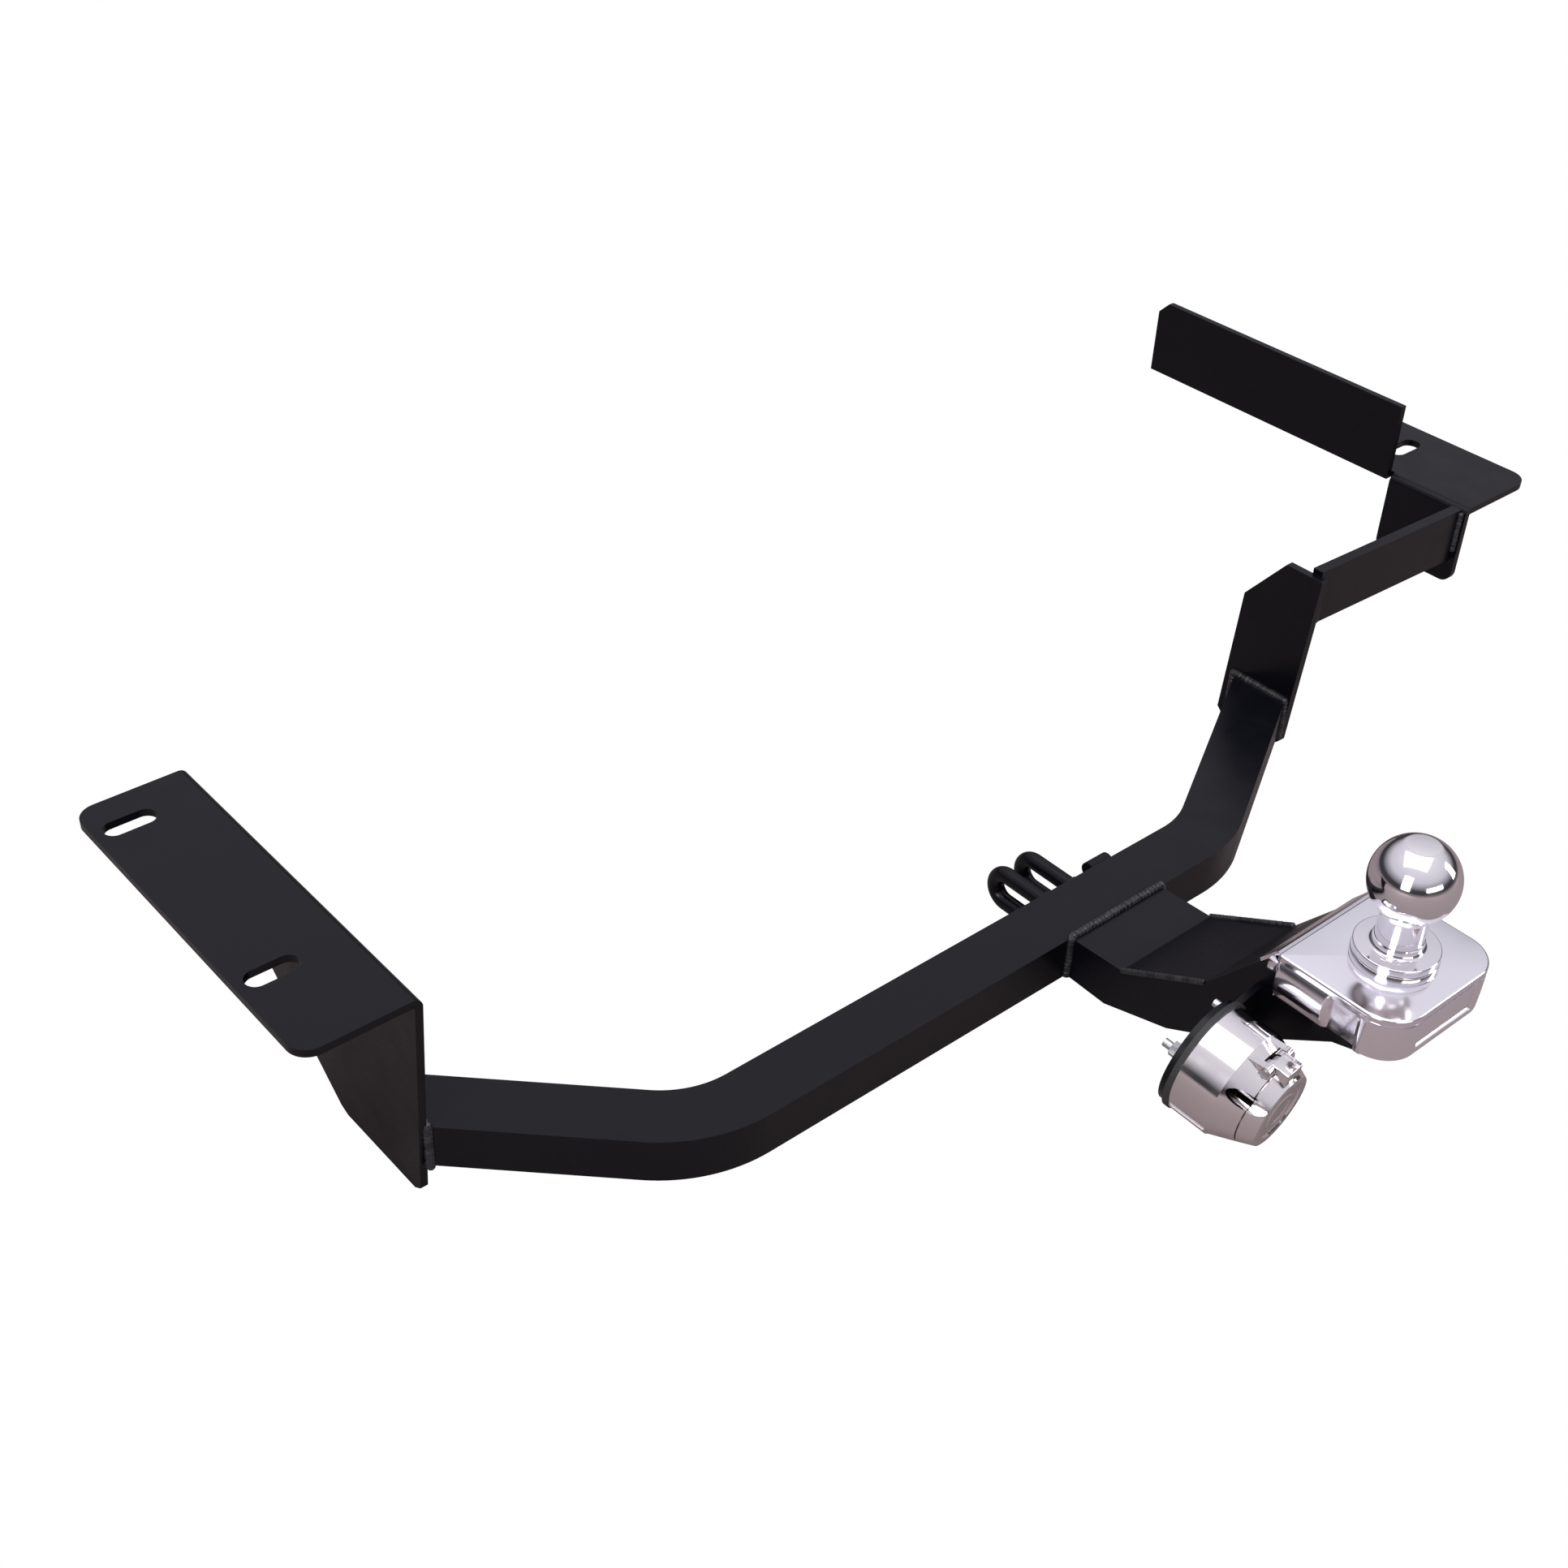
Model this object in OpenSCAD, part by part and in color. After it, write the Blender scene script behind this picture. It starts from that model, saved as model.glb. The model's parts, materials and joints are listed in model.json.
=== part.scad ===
// Fixed rear tow bar for a small car: bent cross tube, two chassis brackets,
// raised welded tongue, polished ball platform with a 50 mm ball, safety-chain
// loops and a round trailer socket with a sprung hinged lid.
// Millimetres. +X is the car's right, +Y is forwards, +Z is up.
// Origin: middle of the four chassis bolt slots, on the level bracket faces.
// The modules are drawn from the middle of the cross tube, then placed().

/* [Cross tube] */
// Tube depth, front to back
tube_w = 40; // [30:1:55]
// Tube height
tube_h = 30; // [22:1:40]
// Tube wall
tube_wall = 3; // [2:0.5:4]
// Centre line radius of the two bends
bend_r = 80; // [60:1:110]
// Left bend, distance from the ball line
bend_left_x = 314; // [260:1:360]
// Right bend, distance from the ball line
bend_right_x = 109; // [95:1:160]
// Left arm angle forwards
left_angle = 44; // [36:1:50]
// Right arm angle forwards
right_angle = 28.5; // [22:0.5:34]

/* [Chassis brackets] */
// Ball line to the inner face of each bracket
rail_x = 441; // [410:1:480]
// Height of the two bracket faces above the tube centre
rail_z = 117.5; // [100:0.5:140]
// Bracket sheet thickness
sheet = 5; // [4:0.5:6]
// Left flange width
left_flange_w = 72; // [62:1:90]
// Right flange width
right_flange_w = 80; // [66:1:92]
// Slot spacing front to back
slot_pitch = 160; // [130:1:180]
// Rear slot, distance in front of the tube centre
slot_rear_y = 145; // [130:1:160]
// Slot length, across the car
slot_len = 32; // [28:1:42]
// Slot width
slot_w = 14; // [10:0.5:16]
// Slot centre, distance from the ball line
slot_off = 45; // [38:1:48]
// Height of the upstanding lip of the right bracket
lip_h = 54; // [35:1:70]

/* [Right post and outrigger] */
// Post inner face, distance from the ball line
post_x = 271.5; // [255:0.5:290]
// Post plate thickness
post_t = 6; // [5:0.5:8]
// Outrigger bar thickness
out_t = 8; // [6:0.5:10]
// Outrigger bar height
out_h = 42; // [34:1:48]

/* [Tongue] */
// Tongue width over its side plates
tongue_w = 82; // [72:1:86]
// Tongue plate thickness
tongue_t = 5; // [4:0.5:6]
// Rise of the tongue from the tube top to the ball pad
tongue_rise = 88; // [70:1:100]

/* [Ball platform] */
// Platform width
plat_w = 97; // [94:1:110]
// Platform length
plat_l = 80; // [74:1:90]
// Platform height
plat_h = 29; // [24:1:34]
// Platform corner radius at the rear
plat_r = 22; // [16:1:26]
// Platform shell thickness
plat_wall = 4; // [3:0.5:4.5]

/* [Ball] */
// Ball diameter
ball_d = 50; // [50:0.8:50.8]
// Ball centre above the platform
ball_rise = 54.5; // [50:0.5:60]
// Neck diameter
neck_d = 27; // [24:0.5:30]
// Collar diameter
collar_d = 48; // [42:1:52]
// Shank diameter
shank_d = 22; // [19:0.5:24]

/* [Chain loops] */
// Bar diameter of the loops
loop_bar = 11; // [9:0.5:12]
// Clear gap inside each loop
loop_gap = 10; // [7:0.5:14]
// Reach of the loops in front of the tube
loop_reach = 49; // [40:1:60]

/* [Trailer socket] */
// Socket body radius
sock_r = 33.5; // [31:0.5:34]
// Socket body length
sock_l = 40; // [34:1:44]
// Straight length of the socket body before its taper
sock_straight = 25; // [20:1:28]
// Lid depth
lid_l = 9.6; // [8:0.2:12]
// Hinge pin diameter
pin_d = 4; // [3:0.5:4]

/* [Hidden] */
$fn = 96;
far = 2000;
half_w = tube_w / 2;
half_h = tube_h / 2;
// cross tube centre line
left_reach = rail_x - sheet;
left_tan = bend_r * tan(left_angle / 2);
right_tan = bend_r * tan(right_angle / 2);
right_end_y = (post_x - bend_right_x) * tan(right_angle);
// brackets
flange_front = slot_rear_y + slot_pitch + 28;
flange_rear = 80;
right_front = slot_rear_y + slot_pitch + 57;
right_rear = 56;
lip_rear = 127;
tab_h = 62;
leg_drop = rail_z + half_h + 22;
fold_r = 6;
// post and outrigger
post_cy = right_end_y;
post_rear = post_cy - 33;
post_front = post_cy + 31;
post_top = rail_z + 0.5;
out_y = post_rear + 5;
out_top = rail_z - 1.5;
// tongue, side view points (y, z) of the top face
pad_z = half_h + tongue_rise;
pad_t = 10;
plat_front = -167;
top_line = [[-half_w, half_h], [-61, half_h + 2], [-120, half_h + tongue_rise * 0.385],
  [plat_front + 5, pad_z - 4]];
floor_line = [[-half_w, -half_h], [-52, -half_h - 1], [-100, -1.5], [-129, 14], [-207, 67]];
// platform and ball
plat_z = pad_z + plat_wall;
plat_rear = plat_front - plat_l;
ball_y = -208;
ball_z = plat_z + ball_rise;
washer_h = 5.4;
collar_h = 4.8;
hole_d = shank_d + 1;
nut_w = shank_d * 1.5;
spring_h = 4;
nut_h = 16;
pad_low = pad_z - pad_t;
// socket
sock_pos = [-90.8, -160, 52.6];
sock_tilt = [8, 0, 6];
gasket_t = 3;
plate_t = 4;
screw_r = 28.2;
screw_d = 5;
screw_at = [147, 27, 267];
sock_end = -gasket_t - sock_l;
taper = 0.408;
end_r = sock_r - taper * (sock_l - sock_straight);
hinge_y = sock_end + 3;
hinge_z = sock_r - 4.5;
knuckle_r = 4;
knuckle_w = 14;
ear_t = 4.5;
block_r = 20;
pin_ring = 12;
steel_black = [0.09, 0.09, 0.11];
chrome = [0.78, 0.77, 0.8];

function unit(v) = v / norm(v);
function left_of(a, b) = let (d = unit(b - a)) [-d[1], d[0]];
function mitre(p, i) = let (
    a = i == 0 ? left_of(p[0], p[1]) : left_of(p[i - 1], p[i]),
    b = i == len(p) - 1 ? a : left_of(p[i], p[i + 1]))
  (a + b) / (1 + a * b);
function shifted(p, d) = [for (i = [0 : len(p) - 1]) p[i] + d * mitre(p, i)];
function reversed(p) = [for (i = [len(p) - 1 : -1 : 0]) p[i]];

// every piece moves from the tube frame to the middle of the chassis bolts
module placed() { translate([0, -slot_rear_y - slot_pitch / 2, -rail_z]) children(); }

// a flat outline drawn in (y, z) and given a thickness along x
module side_plate(x0, t) {
  translate([x0, 0, 0]) rotate([90, 0, 90]) linear_extrude(t) children();
}
// a flat outline drawn in (x, z) and given a thickness towards +y
module face_plate(y0, t) {
  translate([0, y0 + t, 0]) rotate([90, 0, 0]) linear_extrude(t) children();
}
module rounded(x0, x1, y0, y1, r) {
  translate([x0 + r, y0]) square([x1 - x0 - 2 * r, y1 - y0]);
  translate([x0, y0 + r]) square([x1 - x0, y1 - y0 - 2 * r]);
  for (x = [x0 + r, x1 - r]) for (y = [y0 + r, y1 - r]) translate([x, y]) circle(r);
}
module slot(cx, cy, l, w) {
  translate([cx - (l - w) / 2, cy - w / 2]) square([l - w, w]);
  for (s = [-1, 1]) translate([cx + s * (l - w) / 2, cy]) circle(w / 2);
}
module rod(r, l) { rotate([90, 0, 0]) translate([0, 0, -l]) cylinder(r = r, h = l); }

// ---- cross tube -------------------------------------------------------
// one side of the tube seen from above, from the middle of the bar outwards:
// the bend in short flats, then the straight arm; d is the offset towards +y
bend_steps = 16;
function side_line(x, angle, d, l) = let (reach = bend_r * tan(angle / 2)) concat(
  [for (i = [0 : bend_steps]) let (a = angle * i / bend_steps)
    [x - reach + (bend_r - d) * sin(a), bend_r - (bend_r - d) * cos(a)]],
  [[x + (reach + l) * cos(angle) - d * sin(angle), (reach + l) * sin(angle) + d * cos(angle)]]);
function flipped(p) = [for (q = p) [-q[0], q[1]]];
function tube_line(d) = concat(
  reversed(flipped(side_line(bend_left_x, left_angle, d, 250))),
  side_line(bend_right_x, right_angle, d, 250));
module tube_outline(in) polygon(
  concat(tube_line(in - half_w), reversed(tube_line(half_w - in))));
module cross_tube() color(steel_black) placed() difference() {
  translate([0, 0, -half_h]) linear_extrude(tube_h) tube_outline(0);
  translate([0, 0, tube_wall - half_h]) linear_extrude(tube_h - 2 * tube_wall)
    tube_outline(tube_wall);
  translate([-far - left_reach, -far / 2, -50]) cube([far, far, 100]);
  translate([post_x, -far / 2, -50]) cube([far, far, 100]);
}

// ---- chassis brackets -------------------------------------------------
// folded corner between a level sheet and an upright one
module fold(x, z, y0, y1, sx, sz) {
  translate([x, y0, z]) rotate([-90, 0, 0]) linear_extrude(y1 - y0)
    intersection() {
      difference() { circle(fold_r); circle(fold_r - sheet); }
      translate([sx > 0 ? 0 : -fold_r, sz > 0 ? -fold_r : 0]) square(fold_r);
    }
}
module left_bracket() color(steel_black) placed() {
  inner = -rail_x + sheet;
  outer = -rail_x + sheet - left_flange_w;
  translate([0, 0, rail_z - sheet]) linear_extrude(sheet) difference() {
    union() {
      rounded(outer, outer + 40, flange_rear, flange_front, 13);
      translate([outer + 20, flange_rear])
        square([inner - outer - 20 - fold_r, flange_front - flange_rear]);
    }
    for (y = [slot_rear_y, slot_rear_y + slot_pitch])
      slot(-rail_x - slot_off, y, slot_len, slot_w);
  }
  fold(inner - fold_r, rail_z - fold_r, flange_rear, flange_front, 1, 1);
  side_plate(-rail_x, sheet) polygon([
    [flange_rear, rail_z - fold_r], [flange_rear + 13, rail_z - leg_drop + 4],
    [flange_rear + 19, rail_z - leg_drop], [flange_rear + 91, rail_z - leg_drop],
    [flange_rear + 98, rail_z - leg_drop + 3], [flange_front, rail_z - fold_r - 10],
    [flange_front, rail_z - fold_r]]);
}
module right_bracket() color(steel_black) placed() {
  outer = rail_x + right_flange_w;
  translate([0, 0, rail_z - sheet]) linear_extrude(sheet) difference() {
    union() {
      rounded(outer - 40, outer, right_rear, right_front, 15);
      translate([rail_x + fold_r, right_rear])
        square([right_flange_w - fold_r - 20, right_front - right_rear]);
      translate([rail_x, lip_rear]) square([fold_r, right_front - lip_rear]);
    }
    for (y = [slot_rear_y, slot_rear_y + slot_pitch])
      slot(rail_x + slot_off, y, slot_len, slot_w);
  }
  // upstanding lip along the front of the inner edge
  side_plate(rail_x, sheet) polygon([
    [lip_rear, rail_z - sheet], [lip_rear, rail_z + lip_h], [right_front - 9, rail_z + lip_h],
    [right_front, rail_z + lip_h - 9], [right_front, rail_z - sheet]]);
  // tab folded down at the rear of the inner edge
  fold(rail_x + fold_r, rail_z - fold_r, right_rear, lip_rear - 3, -1, 1);
  side_plate(rail_x, sheet) {
    translate([right_rear, rail_z - tab_h]) difference() {
      square([lip_rear - 3 - right_rear, tab_h - fold_r]);
      for (s = [0, 1]) translate([s * (lip_rear - 3 - right_rear), 0])
        mirror([s, 0]) difference() {
          translate([-1, -1]) square(10);
          translate([9, 9]) circle(9);
        }
    }
  }
}

// ---- right post and outrigger -------------------------------------------
module right_post() color(steel_black) placed() side_plate(post_x, post_t) polygon([
  [post_rear, post_top], [post_rear + 31, post_top], [post_front - 3, post_top - 37],
  [post_front + 2, -half_h - 4], [post_front - 2, -half_h - 8],
  [post_rear + 12, -half_h - 8], [post_rear + 8, -half_h - 4]]);
module outrigger_bar() color(steel_black) placed() face_plate(out_y, out_t) polygon([
  [post_x + post_t, out_top - out_h + 6], [rail_x, out_top - out_h], [rail_x, out_top],
  [post_x + post_t, out_top + 6]]);

// ---- tongue -------------------------------------------------------------
under_line = shifted(top_line, tongue_t);
module tongue_top() color(steel_black) placed() side_plate(-tongue_w / 2, tongue_w) polygon(
  concat(top_line, [[plat_front + 5, under_line[3][1] - 4]],
    [under_line[2], under_line[1], [-half_w, half_h - tongue_t]]));
module tongue_sides() color(steel_black) placed()
  for (x = [-tongue_w / 2, tongue_w / 2 - tongue_t]) side_plate(x, tongue_t) difference() {
    polygon(concat(
      [[-half_w, half_h - tongue_t], under_line[1], under_line[2],
       [plat_front + 5, under_line[3][1] - 4], [plat_front + 5, pad_low],
       [plat_rear + 14, pad_low], [plat_rear + 14, pad_low - 18]],
      reversed(floor_line)));
  }
floor_in = shifted(floor_line, -tongue_t);
module tongue_floor() color(steel_black) placed()
  side_plate(-tongue_w / 2 + tongue_t, tongue_w - 2 * tongue_t) polygon(concat(
    [for (i = [0 : 3]) i == 0 ? [-half_w, -half_h + tongue_t] : floor_in[i]],
    [[-152, 38.5 - 4]], [[-155, 31.7]], [for (i = [3 : -1 : 0]) floor_line[i]]));
module ball_pad() color(steel_black) placed() difference() {
  translate([0, 0, pad_low]) linear_extrude(pad_t) intersection() {
    plat_outline(plat_wall + 0.4, plat_front + 5);
    translate([-tongue_w / 2, plat_rear]) square([tongue_w, plat_l + 5]);
  }
  translate([0, ball_y, pad_low - 1]) cylinder(d = hole_d, h = pad_t + 2);
}

// ---- ball platform --------------------------------------------------------
module plat_outline(in, y1 = plat_front) {
  w = plat_w - 2 * in;
  y0 = plat_rear + in;
  r = plat_r - in;
  translate([-w / 2, y0 + r]) square([w, y1 - y0 - r]);
  translate([-w / 2 + r, y0]) square([w - 2 * r, r + 1]);
  for (s = [-1, 1]) translate([s * (w / 2 - r), y0 + r]) circle(r);
}
module ball_platform() color(chrome) placed() difference() {
  translate([0, 0, plat_z - plat_h]) linear_extrude(plat_h) plat_outline(0);
  translate([0, 0, plat_z - plat_h - 1]) linear_extrude(plat_h + 1 - plat_wall)
    plat_outline(plat_wall, plat_front + 1);
  translate([0, ball_y, plat_z - plat_wall - 1]) cylinder(d = hole_d, h = plat_wall + 2);
  // fine step below the top edge
  translate([0, 0, plat_z - 5.2]) linear_extrude(1) difference() {
    translate([-plat_w, plat_rear - 5]) square([2 * plat_w, plat_l + 10]);
    plat_outline(0.8, plat_front + 1);
  }
  // shallow bare panel in the rear face
  translate([-25, plat_rear - 1, plat_z - plat_h + 4]) cube([50, 1.8, 17]);
  // scallop in each side skirt
  for (s = [-1, 1]) translate([s * plat_w / 2, plat_rear + 35, plat_z - plat_h])
    rotate([0, 90, 0]) translate([0, 0, -6]) cylinder(r = 12, h = 12);
}

// ---- ball and its fixings -------------------------------------------------
module tow_ball() color(chrome) placed() translate([0, ball_y, 0]) {
  difference() {
    translate([0, 0, ball_z]) sphere(d = ball_d);
    translate([-far / 2, -far / 2, ball_z + 23]) cube([far, far, 10]);
  }
  translate([0, 0, plat_z + washer_h]) cylinder(d = collar_d, h = collar_h);
  translate([0, 0, plat_z + washer_h + collar_h]) cylinder(d1 = neck_d + 7, d2 = neck_d, h = 3.5);
  translate([0, 0, plat_z + washer_h]) cylinder(d = neck_d, h = ball_rise - washer_h - 15);
  translate([0, 0, pad_low - spring_h - nut_h - 6])
    cylinder(d = shank_d, h = pad_t + plat_wall + spring_h + nut_h + 6 + washer_h + 1);
}
module base_washer() color(chrome) placed() translate([0, ball_y, plat_z]) difference() {
  cylinder(d = collar_d + 0.8, h = washer_h);
  translate([0, 0, -1]) cylinder(d = hole_d, h = washer_h + 2);
}
module spring_washer() color([0.6, 0.6, 0.62]) placed() translate([0, ball_y, pad_low - spring_h])
  difference() {
    cylinder(d = shank_d * 1.62, h = spring_h);
    translate([0, 0, -1]) cylinder(d = hole_d, h = spring_h + 2);
    translate([-1.2, 0, -1]) cube([2.4, 40, spring_h + 2]);
  }
module ball_nut() color([0.6, 0.6, 0.62]) placed() translate([0, ball_y, pad_low - spring_h - nut_h])
  difference() {
    cylinder(d = nut_w / cos(30), h = nut_h, $fn = 6);
    translate([0, 0, -1]) cylinder(d = shank_d + 0.1, h = nut_h + 2);
  }

// ---- chain loops ------------------------------------------------------------
loop_c = (loop_gap + loop_bar) / 2;
loop_at = [-20.5, 4];
loop_z = -4;
module chain_loops() color(steel_black) placed() {
  straight = loop_reach - loop_c - loop_bar / 2;
  for (x = loop_at) translate([x, half_w, loop_z]) {
    for (s = [-1, 1]) translate([0, 0, s * loop_c]) rod(loop_bar / 2, straight);
    translate([0, straight, 0]) rotate([0, -90, 0]) half_ring();
  }
  translate([24, half_w + loop_bar / 2, half_h - 8]) rotate([0, 90, 0])
    cylinder(d = loop_bar, h = 18);
}
module half_ring() rotate_extrude(angle = 180) translate([loop_c, 0]) circle(d = loop_bar);

// ---- trailer socket -----------------------------------------------------------
module at_socket() translate(sock_pos) rotate(sock_tilt) children();
// axis along local -y, starting at local y
module disc(r, y0, y1) translate([0, y0, 0]) rotate([90, 0, 0]) cylinder(r = r, h = y0 - y1);
module at_screws() for (a = screw_at)
  translate([screw_r * cos(a), 0, screw_r * sin(a)]) children();

module socket_plate() color(steel_black) placed() difference() {
  at_socket() difference() {
    union() {
      disc(sock_r - 0.5, plate_t, 0);
      translate([0, 0, -20]) cube([80, plate_t, 40]);
    }
    disc(17, plate_t + 1, -1);
    at_screws() disc(screw_d / 2 + 0.3, plate_t + 1, -1);
  }
  translate([-tongue_w / 2, -far / 2, -far / 2]) cube(far);
}
module socket_gasket() color([0.03, 0.03, 0.03]) placed() at_socket() difference() {
  disc(sock_r + 1.5, 0, -gasket_t);
  disc(17, 1, -gasket_t - 1);
  at_screws() disc(screw_d / 2 + 0.3, 1, -gasket_t - 1);
}
module socket_body() color(chrome) placed() at_socket() {
  difference() {
    union() {
      disc(sock_r, -gasket_t, -gasket_t - sock_straight);
      translate([0, -gasket_t - sock_straight, 0]) rotate([90, 0, 0])
        cylinder(r1 = sock_r, r2 = end_r, h = sock_l - sock_straight);
    }
    disc(sock_r - 9.5, -gasket_t - 4, sock_end - 1);
    disc(14, 1, -gasket_t - 5);
    at_screws() disc(screw_d / 2 + 0.3, 1, -gasket_t - 20);
    // screw recesses, which break out through the taper
    at_screws() disc(4.6, -gasket_t - 8, sock_end - 1);
    // room for the lid knuckle
    translate([-knuckle_w / 2 - 0.3, sock_end - 2, 20])
      cube([knuckle_w + 0.6, 9.8, sock_r]);
    translate([-11.5, hinge_y, hinge_z]) rotate([0, 90, 0]) cylinder(d = pin_d + 0.04, h = 23);
  }
  // two hinge ears
  for (s = [-1, 1]) difference() {
    side_plate(s * (knuckle_w / 2 + 0.3 + ear_t / 2) - ear_t / 2, ear_t) {
      translate([hinge_y, hinge_z]) circle(knuckle_r);
      polygon([[hinge_y + 0.5, hinge_z - 3], [hinge_y + 0.5, hinge_z + knuckle_r - 0.2],
        [hinge_y + 14, hinge_z + knuckle_r - 1.8], [hinge_y + 14, hinge_z - 3]]);
    }
    translate([-30, hinge_y, hinge_z]) rotate([0, 90, 0]) cylinder(d = pin_d + 0.04, h = 60);
  }
}
module socket_lid() color(chrome) placed() at_socket() {
  back = sock_end - 0.4;
  back_r = end_r - 0.4 * taper;
  difference() {
    union() {
      translate([0, back, 0]) rotate([90, 0, 0])
        cylinder(r1 = back_r, r2 = back_r - taper * lid_l, h = lid_l);
      // knuckle block, level with the straight part of the socket
      translate([-knuckle_w / 2, back - lid_l + 1.5, hinge_z - 6])
        cube([knuckle_w, hinge_y - back + lid_l - 1.5, 6 + knuckle_r]);
      translate([-knuckle_w / 2, hinge_y, hinge_z]) rotate([0, 90, 0])
        cylinder(r = knuckle_r, h = knuckle_w);
    }
    // hollow of the cap
    translate([0, back + 1, 0]) rotate([90, 0, 0]) cylinder(r = end_r - 6.9, h = lid_l - 2.6);
    // pin bore and spring pocket
    translate([-30, hinge_y, hinge_z]) rotate([0, 90, 0]) cylinder(d = pin_d + 0.04, h = 60);
    translate([-3.2, hinge_y - 3.4, hinge_z - 7]) cube([6.4, 20, 10.3]);
    // the screw recesses run on into the lid
    at_screws() disc(5, back + 1, back - lid_l - 1);
    // shallow panel in the cover face
    translate([0, back - lid_l + 0.8, 0]) rotate([90, 0, 0]) cylinder(r = end_r - 9.4, h = 2);
  }
}
module lid_pin() color([0.7, 0.7, 0.72]) placed() at_socket()
  translate([-knuckle_w / 2 - ear_t - 1.1, hinge_y, hinge_z]) rotate([0, 90, 0]) {
    cylinder(d = pin_d, h = knuckle_w + 2 * ear_t + 2.2);
    for (z = [0, knuckle_w + 2 * ear_t + 2.2 - 0.8]) translate([0, 0, z])
      cylinder(d = pin_d + 1.2, h = 0.8);
  }
module lid_spring() color([0.6, 0.6, 0.6]) placed() at_socket() {
  translate([-2.5, hinge_y, hinge_z]) rotate([0, 90, 0]) difference() {
    cylinder(r = pin_d / 2 + 1, h = 5);
    translate([0, 0, -1]) cylinder(r = pin_d / 2 + 0.3, h = 7);
  }
  translate([1.4, hinge_y, hinge_z - pin_d / 2 - 0.9]) cube([1, 4.6, 0.8]);
}
module contact_block() color([0.05, 0.05, 0.05]) placed() at_socket() difference() {
  union() {
    disc(block_r, -gasket_t - 4.3, -gasket_t - 18);
    disc(13.5, -gasket_t + 4, -gasket_t - 5);
  }
  for (a = [0 : 60 : 300]) translate([pin_ring * cos(a), 0, pin_ring * sin(a)])
    disc(2.5, -10, -gasket_t - 19);
  disc(2.5, -10, -gasket_t - 19);
}
module contact_pins() color([0.75, 0.62, 0.3]) placed() at_socket() {
  for (a = [0 : 60 : 300]) translate([pin_ring * cos(a), 0, pin_ring * sin(a)])
    disc(2.45, -10, -gasket_t - 27);
  disc(2.45, -10, -gasket_t - 27);
}
module socket_screws() color([0.75, 0.75, 0.77]) placed() at_socket() at_screws() {
  disc(screw_d / 2, 13.5, -gasket_t - 8);
  disc(4.2, -gasket_t - 8, -gasket_t - 11);
}
module socket_nuts() color([0.75, 0.75, 0.77]) placed() at_socket() at_screws()
  translate([0, plate_t + 4, 0]) rotate([90, 0, 0]) difference() {
    cylinder(d = 8 / cos(30), h = 4, $fn = 6);
    translate([0, 0, -1]) cylinder(d = screw_d + 0.06, h = 6);
  }

cross_tube();
left_bracket();
right_bracket();
right_post();
outrigger_bar();
tongue_top();
tongue_sides();
tongue_floor();
ball_pad();
ball_platform();
tow_ball();
base_washer();
spring_washer();
ball_nut();
chain_loops();
socket_plate();
socket_gasket();
socket_body();
socket_lid();
lid_pin();
lid_spring();
contact_block();
contact_pins();
socket_screws();
socket_nuts();
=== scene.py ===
# %% [markdown]
# # Fixed rear tow bar
# A bent square tube is bolted under the car by two chassis brackets. A welded
# tongue rises behind it and carries the ball platform, the tow ball and the
# lidded trailer socket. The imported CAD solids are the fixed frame. The pieces
# that are cast, turned or welded are made again here with their real edges.

# %% Load the frame
import json
import math
import random

import bmesh
import bpy
import numpy as np
from mathutils import Matrix, Vector


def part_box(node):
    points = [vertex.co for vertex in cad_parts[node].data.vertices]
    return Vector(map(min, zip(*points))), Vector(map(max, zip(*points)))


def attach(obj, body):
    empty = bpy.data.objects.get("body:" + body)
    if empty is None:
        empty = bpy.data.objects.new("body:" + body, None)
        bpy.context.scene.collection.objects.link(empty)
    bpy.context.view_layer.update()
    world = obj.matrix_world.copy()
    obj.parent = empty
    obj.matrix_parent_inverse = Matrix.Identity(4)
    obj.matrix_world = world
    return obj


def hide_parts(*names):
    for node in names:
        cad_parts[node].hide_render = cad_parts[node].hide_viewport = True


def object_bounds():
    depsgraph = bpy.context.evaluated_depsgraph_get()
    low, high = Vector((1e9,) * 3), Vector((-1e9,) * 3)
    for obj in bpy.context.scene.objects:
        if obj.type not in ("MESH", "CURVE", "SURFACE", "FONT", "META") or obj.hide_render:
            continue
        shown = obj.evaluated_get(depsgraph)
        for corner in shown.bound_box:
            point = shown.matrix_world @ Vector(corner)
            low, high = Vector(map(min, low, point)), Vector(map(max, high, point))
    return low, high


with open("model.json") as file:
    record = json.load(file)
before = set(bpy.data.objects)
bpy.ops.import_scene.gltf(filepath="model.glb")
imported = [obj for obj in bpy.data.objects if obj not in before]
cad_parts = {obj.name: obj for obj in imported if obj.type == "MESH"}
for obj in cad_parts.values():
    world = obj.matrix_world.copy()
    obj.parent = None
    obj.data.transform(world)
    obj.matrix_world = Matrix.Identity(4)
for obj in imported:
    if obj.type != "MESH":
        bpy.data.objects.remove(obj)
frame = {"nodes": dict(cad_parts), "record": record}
cad_low, cad_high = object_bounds()
MM = 0.001
print("frame box, mm:", [round(x / MM, 1) for x in (*cad_low, *cad_high)])

# %% [markdown]
# ## Finishes
# Every finish is a small node network on object coordinates: a slow noise moves
# the colour, a middle one moves the roughness and a fine one gives the surface
# its grain. A flat colour would be simpler, but black coat and chrome only read
# as metal when their gloss is uneven.

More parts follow.
